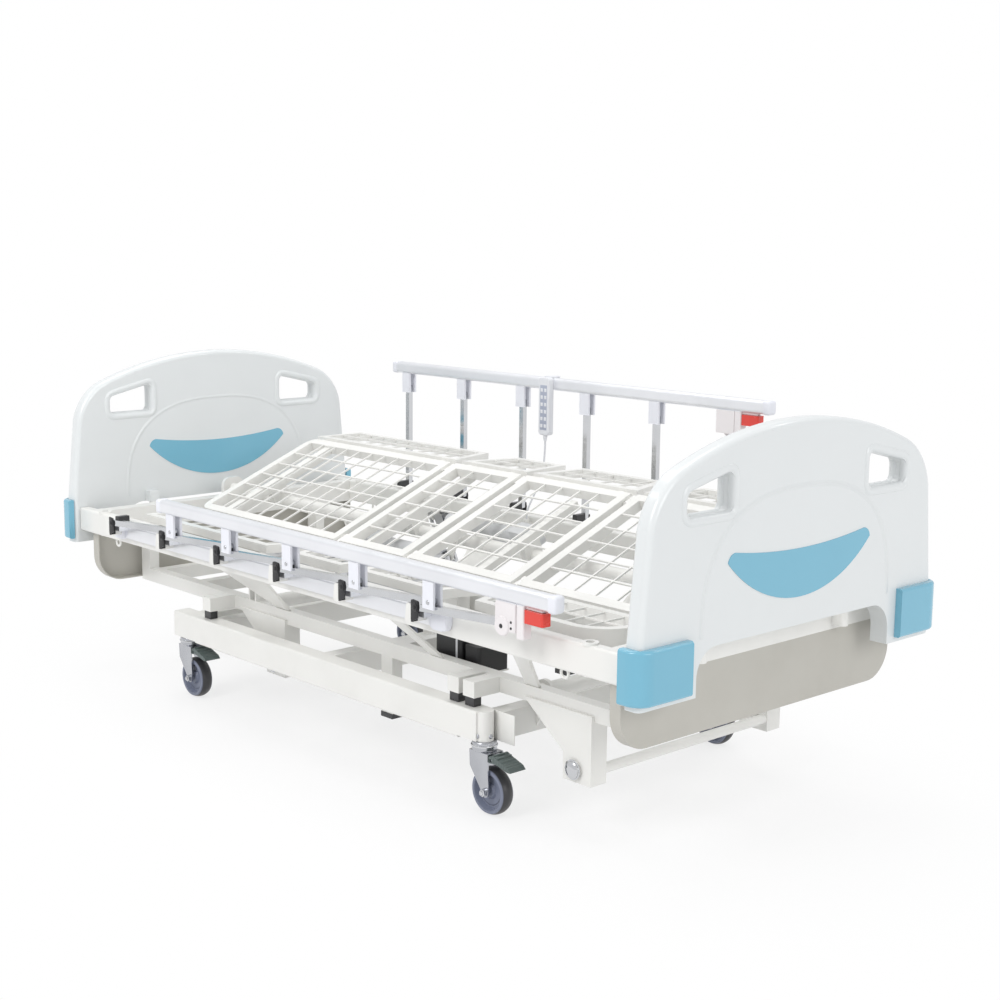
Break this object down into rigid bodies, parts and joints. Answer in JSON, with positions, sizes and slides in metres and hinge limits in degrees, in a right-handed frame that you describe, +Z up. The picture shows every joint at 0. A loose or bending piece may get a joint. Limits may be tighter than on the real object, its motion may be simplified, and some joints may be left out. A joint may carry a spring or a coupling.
{
  "type": "electric care bed",
  "caption": "Electric care bed: side-turning mesh deck with hinged flaps, folding side rails, moulded end boards and a lifting chassis on braked castors",
  "frame": {"origin": "centre of the bed's outline on the floor", "axes": "+X along the bed to the foot end, +Y across to the far side, +Z up"},
  "size_m": [2.178, 1.0263, 0.866],
  "materials": {
    "frame_white": "satin white powder coat",
    "board_white": "smooth moulded plastic",
    "trim_blue": "soft sky blue plastic",
    "apron_grey": "plain beige grey sheet",
    "castor_steel": "zinc plated pressed steel",
    "wheel_grey": "blue grey non marking tyre on a hub",
    "pedal_grey": "dark ribbed plastic",
    "rail_aluminium": "brushed anodised extrusion",
    "button_red": "glossy red plastic",
    "drive_grey": "grey motor housing",
    "rod_steel": "polished steel rod",
    "box_black": "matt black plastic",
    "handset_white": "white keypad with soft keys",
    "cord_grey": "light grey cord sheath"
  },
  "bodies": {
    "base": {"base_frame": "frame_white", "hilo_actuator": "drive_grey"},
    "head_lift_arms": {"lift_arms_head": "frame_white"},
    "foot_lift_arms": {"lift_arms_foot": "frame_white"},
    "lift_rod": {"hilo_rod": "rod_steel"},
    "upper": {"upper_frame": "frame_white", "lower_frame": "frame_white", "aprons": "apron_grey", "control_box": "box_black", "turn_actuator": "drive_grey", "rail_bases": "rail_aluminium", "handset_cord": "cord_grey"},
    "turn_drive_rod": {"turn_rod": "rod_steel"},
    "deck_seat": {"seat_section": "frame_white", "back_actuator": "drive_grey", "knee_actuator": "drive_grey"},
    "deck_back": {"back_section": "frame_white"},
    "deck_thigh": {"thigh_section": "frame_white"},
    "deck_leg": {"leg_section": "frame_white"},
    "back_drive_rod": {"back_rod": "rod_steel"},
    "knee_drive_rod": {"knee_rod": "rod_steel"},
    "foot_end_board": {"foot_board": "board_white", "foot_trim": "trim_blue"},
    "head_end_board": {"head_board": "board_white", "head_trim": "trim_blue"},
    "handset_body": {"handset": "handset_white"},
    "flap_back_near": {"back_flap_near": "frame_white"},
    "flap_seat_near": {"seat_flap_near": "frame_white"},
    "flap_thigh_near": {"thigh_flap_near": "frame_white"},
    "flap_leg_near": {"leg_flap_near": "frame_white"},
    "flap_back_far": {"back_flap_far": "frame_white"},
    "flap_seat_far": {"seat_flap_far": "frame_white"},
    "flap_thigh_far": {"thigh_flap_far": "frame_white"},
    "flap_leg_far": {"leg_flap_far": "frame_white"},
    "fork_near_head": {"castor_fork_near_head": "castor_steel"},
    "wheel_near_head": {"castor_wheel_near_head": "wheel_grey"},
    "pedal_near_head": {"brake_pedal_near_head": "pedal_grey"},
    "fork_near_foot": {"castor_fork_near_foot": "castor_steel"},
    "wheel_near_foot": {"castor_wheel_near_foot": "wheel_grey"},
    "pedal_near_foot": {"brake_pedal_near_foot": "pedal_grey"},
    "fork_far_head": {"castor_fork_far_head": "castor_steel"},
    "wheel_far_head": {"castor_wheel_far_head": "wheel_grey"},
    "fork_far_foot": {"castor_fork_far_foot": "castor_steel"},
    "wheel_far_foot": {"castor_wheel_far_foot": "wheel_grey"},
    "near_rail_post_1": {"near_post_1": "rail_aluminium"},
    "near_rail_post_2": {"near_post_2": "rail_aluminium"},
    "near_rail_post_3": {"near_post_3": "rail_aluminium"},
    "near_rail_post_4": {"near_post_4": "rail_aluminium"},
    "near_rail_post_5": {"near_post_5": "rail_aluminium"},
    "near_rail_post_6": {"near_post_6": "rail_aluminium"},
    "near_rail_top": {"near_handrail": "rail_aluminium"},
    "near_latch": {"near_latch_button": "button_red"},
    "far_rail_post_1": {"far_post_1": "rail_aluminium"},
    "far_rail_post_2": {"far_post_2": "rail_aluminium"},
    "far_rail_post_3": {"far_post_3": "rail_aluminium"},
    "far_rail_post_4": {"far_post_4": "rail_aluminium"},
    "far_rail_post_5": {"far_post_5": "rail_aluminium"},
    "far_rail_post_6": {"far_post_6": "rail_aluminium"},
    "far_rail_top": {"far_handrail": "rail_aluminium"},
    "far_latch": {"far_latch_button": "button_red"}
  },
  "joints": [
    {"name": "lift", "type": "hinge", "parent": "base", "child": "head_lift_arms", "pos_m": [-0.485, 0, 0.246], "axis": [0, -1, 0], "range_deg": [0, 80]},
    {"name": "foot_lift", "type": "hinge", "parent": "base", "child": "foot_lift_arms", "pos_m": [0.583, 0, 0.246], "axis": [0, -1, 0], "range_deg": [0, 80]},
    {"name": "upper_level", "type": "hinge", "parent": "head_lift_arms", "child": "upper", "pos_m": [-0.31307, 0, 0.13435], "axis": [0, -1, 0], "range_deg": [-80, 0]},
    {"name": "lift_rod_slide", "type": "slide", "parent": "base", "child": "lift_rod", "axis": [-1, 0, 0], "range_m": [0, 0.09642]},
    {"name": "turn", "type": "hinge", "parent": "upper", "child": "deck_seat", "pos_m": [0, 0, 0.47], "axis": [1, 0, 0], "range_deg": [-45, 0]},
    {"name": "turn_rod_slide", "type": "slide", "parent": "upper", "child": "turn_drive_rod", "axis": [0, 1, 0], "range_m": [-0.08419, 0]},
    {"name": "back", "type": "hinge", "parent": "deck_seat", "child": "deck_back", "pos_m": [-0.169, -0.02526, 0.53098], "axis": [0, 0.9239, 0.3827], "range_deg": [0, 70]},
    {"name": "back_rod_slide", "type": "slide", "parent": "deck_seat", "child": "back_drive_rod", "axis": [-1, 0, 0], "range_m": [0, 0.09177]},
    {"name": "thigh", "type": "hinge", "parent": "deck_seat", "child": "deck_thigh", "pos_m": [0.1, -0.02526, 0.53098], "axis": [0, -0.9239, -0.3827], "range_deg": [0, 40]},
    {"name": "leg", "type": "hinge", "parent": "deck_thigh", "child": "deck_leg", "pos_m": [0.472, -0.02526, 0.53098], "axis": [0, -0.9239, -0.3827], "range_deg": [-72, 0]},
    {"name": "knee_rod_slide", "type": "slide", "parent": "deck_seat", "child": "knee_drive_rod", "axis": [1, 0, 0], "range_m": [0, 0.05472]},
    {"name": "back_flap_near_turn", "type": "hinge", "parent": "deck_back", "child": "flap_back_near", "pos_m": [0, -0.22297, 0.44908], "axis": [1, 0, 0], "range_deg": [0, 45]},
    {"name": "seat_flap_near_turn", "type": "hinge", "parent": "deck_seat", "child": "flap_seat_near", "pos_m": [0, -0.22297, 0.44908], "axis": [1, 0, 0], "range_deg": [0, 45]},
    {"name": "thigh_flap_near_turn", "type": "hinge", "parent": "deck_thigh", "child": "flap_thigh_near", "pos_m": [0, -0.22297, 0.44908], "axis": [1, 0, 0], "range_deg": [0, 45]},
    {"name": "leg_flap_near_turn", "type": "hinge", "parent": "deck_leg", "child": "flap_leg_near", "pos_m": [0, -0.22297, 0.44908], "axis": [1, 0, 0], "range_deg": [0, 45]},
    {"name": "back_flap_far_turn", "type": "hinge", "parent": "deck_back", "child": "flap_back_far", "pos_m": [0, 0.17245, 0.61287], "axis": [1, 0, 0], "range_deg": [0, 45]},
    {"name": "seat_flap_far_turn", "type": "hinge", "parent": "deck_seat", "child": "flap_seat_far", "pos_m": [0, 0.17245, 0.61287], "axis": [1, 0, 0], "range_deg": [0, 45]},
    {"name": "thigh_flap_far_turn", "type": "hinge", "parent": "deck_thigh", "child": "flap_thigh_far", "pos_m": [0, 0.17245, 0.61287], "axis": [1, 0, 0], "range_deg": [0, 45]},
    {"name": "leg_flap_far_turn", "type": "hinge", "parent": "deck_leg", "child": "flap_leg_far", "pos_m": [0, 0.17245, 0.61287], "axis": [1, 0, 0], "range_deg": [0, 45]},
    {"name": "foot_board_lift", "type": "slide", "parent": "upper", "child": "foot_end_board", "axis": [0, 0, 1], "range_m": [0, 0.12]},
    {"name": "head_board_lift", "type": "slide", "parent": "upper", "child": "head_end_board", "axis": [0, 0, 1], "range_m": [0, 0.12]},
    {"name": "swivel_near_head", "type": "hinge", "parent": "base", "child": "fork_near_head", "pos_m": [-0.615, -0.364, 0.16], "axis": [0, 0, 1], "continuous": true},
    {"name": "roll_near_head", "type": "hinge", "parent": "fork_near_head", "child": "wheel_near_head", "pos_m": [-0.588, -0.364, 0.052], "axis": [0, 1, 0], "continuous": true},
    {"name": "brake_near_head", "type": "hinge", "parent": "fork_near_head", "child": "pedal_near_head", "pos_m": [-0.572, -0.364, 0.125], "axis": [0, 1, 0], "range_deg": [0, 12]},
    {"name": "swivel_near_foot", "type": "hinge", "parent": "base", "child": "fork_near_foot", "pos_m": [0.541, -0.364, 0.16], "axis": [0, 0, 1], "continuous": true},
    {"name": "roll_near_foot", "type": "hinge", "parent": "fork_near_foot", "child": "wheel_near_foot", "pos_m": [0.568, -0.364, 0.052], "axis": [0, 1, 0], "continuous": true},
    {"name": "brake_near_foot", "type": "hinge", "parent": "fork_near_foot", "child": "pedal_near_foot", "pos_m": [0.584, -0.364, 0.125], "axis": [0, 1, 0], "range_deg": [0, 12]},
    {"name": "swivel_far_head", "type": "hinge", "parent": "base", "child": "fork_far_head", "pos_m": [-0.615, 0.364, 0.16], "axis": [0, 0, 1], "continuous": true},
    {"name": "roll_far_head", "type": "hinge", "parent": "fork_far_head", "child": "wheel_far_head", "pos_m": [-0.588, 0.364, 0.052], "axis": [0, 1, 0], "continuous": true},
    {"name": "swivel_far_foot", "type": "hinge", "parent": "base", "child": "fork_far_foot", "pos_m": [0.541, 0.364, 0.16], "axis": [0, 0, 1], "continuous": true},
    {"name": "roll_far_foot", "type": "hinge", "parent": "fork_far_foot", "child": "wheel_far_foot", "pos_m": [0.568, 0.364, 0.052], "axis": [0, 1, 0], "continuous": true},
    {"name": "near_rail_fold", "type": "hinge", "parent": "upper", "child": "near_rail_post_1", "pos_m": [-0.76, -0.497, 0.455], "axis": [0, 1, 0], "range_deg": [-86.4, 0]},
    {"name": "near_post_2_fold", "type": "hinge", "parent": "upper", "child": "near_rail_post_2", "pos_m": [-0.512, -0.497, 0.455], "axis": [0, 1, 0], "range_deg": [-86.4, 0]},
    {"name": "near_post_3_fold", "type": "hinge", "parent": "upper", "child": "near_rail_post_3", "pos_m": [-0.264, -0.497, 0.455], "axis": [0, 1, 0], "range_deg": [-86.4, 0]},
    {"name": "near_post_4_fold", "type": "hinge", "parent": "upper", "child": "near_rail_post_4", "pos_m": [-0.016, -0.497, 0.455], "axis": [0, 1, 0], "range_deg": [-86.4, 0]},
    {"name": "near_post_5_fold", "type": "hinge", "parent": "upper", "child": "near_rail_post_5", "pos_m": [0.232, -0.497, 0.455], "axis": [0, 1, 0], "range_deg": [-86.4, 0]},
    {"name": "near_post_6_fold", "type": "hinge", "parent": "upper", "child": "near_rail_post_6", "pos_m": [0.48, -0.497, 0.455], "axis": [0, 1, 0], "range_deg": [-86.4, 0]},
    {"name": "near_handrail_level", "type": "hinge", "parent": "near_rail_post_1", "child": "near_rail_top", "pos_m": [-0.46558, -0.497, 0.4735], "axis": [0, 1, 0], "range_deg": [0, 86.4]},
    {"name": "near_latch_press", "type": "slide", "parent": "near_rail_top", "child": "near_latch", "axis": [0, 0, 1], "range_m": [0, 0.005], "stiffness_N_per_m": 100, "springref_m": -0.002},
    {"name": "far_rail_fold", "type": "hinge", "parent": "upper", "child": "far_rail_post_1", "pos_m": [-0.76, 0.497, 0.455], "axis": [0, -1, 0], "range_deg": [-86.4, 0]},
    {"name": "far_post_2_fold", "type": "hinge", "parent": "upper", "child": "far_rail_post_2", "pos_m": [-0.512, 0.497, 0.455], "axis": [0, -1, 0], "range_deg": [-86.4, 0]},
    {"name": "far_post_3_fold", "type": "hinge", "parent": "upper", "child": "far_rail_post_3", "pos_m": [-0.264, 0.497, 0.455], "axis": [0, -1, 0], "range_deg": [-86.4, 0]},
    {"name": "far_post_4_fold", "type": "hinge", "parent": "upper", "child": "far_rail_post_4", "pos_m": [-0.016, 0.497, 0.455], "axis": [0, -1, 0], "range_deg": [-86.4, 0]},
    {"name": "far_post_5_fold", "type": "hinge", "parent": "upper", "child": "far_rail_post_5", "pos_m": [0.232, 0.497, 0.455], "axis": [0, -1, 0], "range_deg": [-86.4, 0]},
    {"name": "far_post_6_fold", "type": "hinge", "parent": "upper", "child": "far_rail_post_6", "pos_m": [0.48, 0.497, 0.455], "axis": [0, -1, 0], "range_deg": [-86.4, 0]},
    {"name": "far_handrail_level", "type": "hinge", "parent": "far_rail_post_1", "child": "far_rail_top", "pos_m": [-0.76, 0.497, 0.75], "axis": [0, -1, 0], "range_deg": [0, 86.4]},
    {"name": "far_latch_press", "type": "slide", "parent": "far_rail_top", "child": "far_latch", "axis": [0, 0, 1], "range_m": [0, 0.005], "stiffness_N_per_m": 100, "springref_m": -0.002},
    {"name": "handset_unhook", "type": "slide", "parent": "far_rail_top", "child": "handset_body", "axis": [0, 0, 1], "range_m": [0, 0.05], "deforming": ["handset_cord"]}
  ],
  "couplings": [
    {"joint": "foot_lift", "follows": "lift", "ratio": 1},
    {"joint": "upper_level", "follows": "lift", "ratio": -1},
    {"joint": "lift_rod_slide", "follows": "lift", "m_per_rad": 0.069054},
    {"joint": "turn_rod_slide", "follows": "turn", "m_per_rad": 0.10719},
    {"joint": "back_rod_slide", "follows": "back", "m_per_rad": 0.075116},
    {"joint": "leg", "follows": "thigh", "ratio": -1.8},
    {"joint": "knee_rod_slide", "follows": "thigh", "m_per_rad": 0.078384},
    {"joint": "back_flap_near_turn", "follows": "turn", "ratio": -1},
    {"joint": "seat_flap_near_turn", "follows": "turn", "ratio": -1},
    {"joint": "thigh_flap_near_turn", "follows": "turn", "ratio": -1},
    {"joint": "leg_flap_near_turn", "follows": "turn", "ratio": -1},
    {"joint": "back_flap_far_turn", "follows": "turn", "ratio": -1},
    {"joint": "seat_flap_far_turn", "follows": "turn", "ratio": -1},
    {"joint": "thigh_flap_far_turn", "follows": "turn", "ratio": -1},
    {"joint": "leg_flap_far_turn", "follows": "turn", "ratio": -1},
    {"joint": "near_post_2_fold", "follows": "near_rail_fold", "ratio": 1},
    {"joint": "near_post_3_fold", "follows": "near_rail_fold", "ratio": 1},
    {"joint": "near_post_4_fold", "follows": "near_rail_fold", "ratio": 1},
    {"joint": "near_post_5_fold", "follows": "near_rail_fold", "ratio": 1},
    {"joint": "near_post_6_fold", "follows": "near_rail_fold", "ratio": 1},
    {"joint": "near_handrail_level", "follows": "near_rail_fold", "ratio": -1},
    {"joint": "far_post_2_fold", "follows": "far_rail_fold", "ratio": 1},
    {"joint": "far_post_3_fold", "follows": "far_rail_fold", "ratio": 1},
    {"joint": "far_post_4_fold", "follows": "far_rail_fold", "ratio": 1},
    {"joint": "far_post_5_fold", "follows": "far_rail_fold", "ratio": 1},
    {"joint": "far_post_6_fold", "follows": "far_rail_fold", "ratio": 1},
    {"joint": "far_handrail_level", "follows": "far_rail_fold", "ratio": -1}
  ]
}
